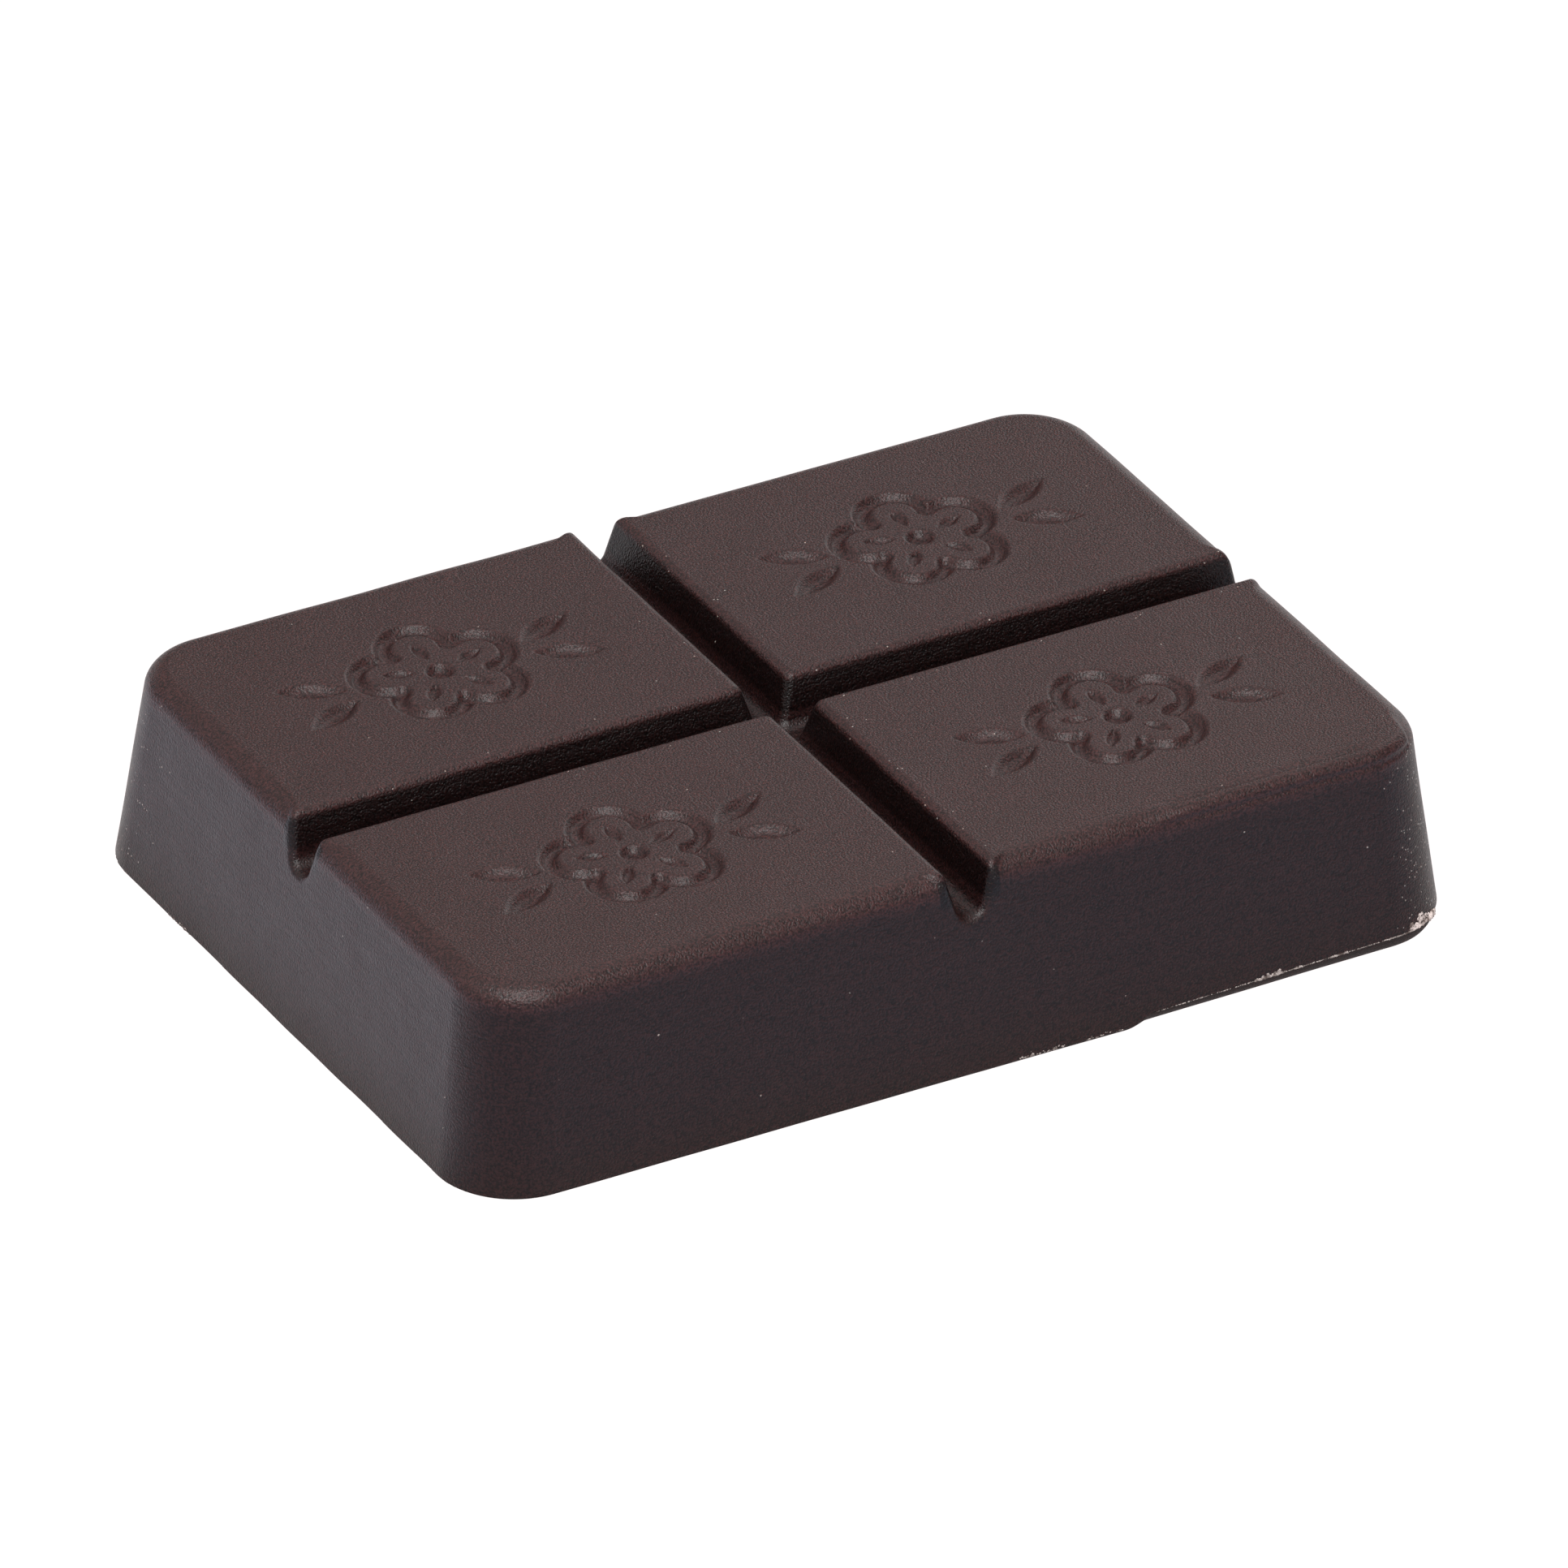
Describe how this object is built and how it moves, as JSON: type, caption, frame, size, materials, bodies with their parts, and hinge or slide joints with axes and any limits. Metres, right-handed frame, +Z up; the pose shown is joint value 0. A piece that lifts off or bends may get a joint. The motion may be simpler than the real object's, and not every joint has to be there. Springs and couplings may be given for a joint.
{
  "type": "chocolate bar",
  "caption": "Small moulded bar of plain dark chocolate, scored by crossed break grooves into rectangular segments, each engraved with a plain blossom ornament.",
  "frame": {"origin": "middle of the flat underside, on the surface that the bar lies on", "axes": "+X along the long side, +Y along the short side, +Z up through the engraved top face"},
  "size_m": [0.0499, 0.0364, 0.0102],
  "materials": {
    "dark_chocolate": "satin, moulded dark chocolate with a faint cool sheen"
  },
  "bodies": {
    "root": {"chocolate_bar": "dark_chocolate"}
  },
  "joints": []
}
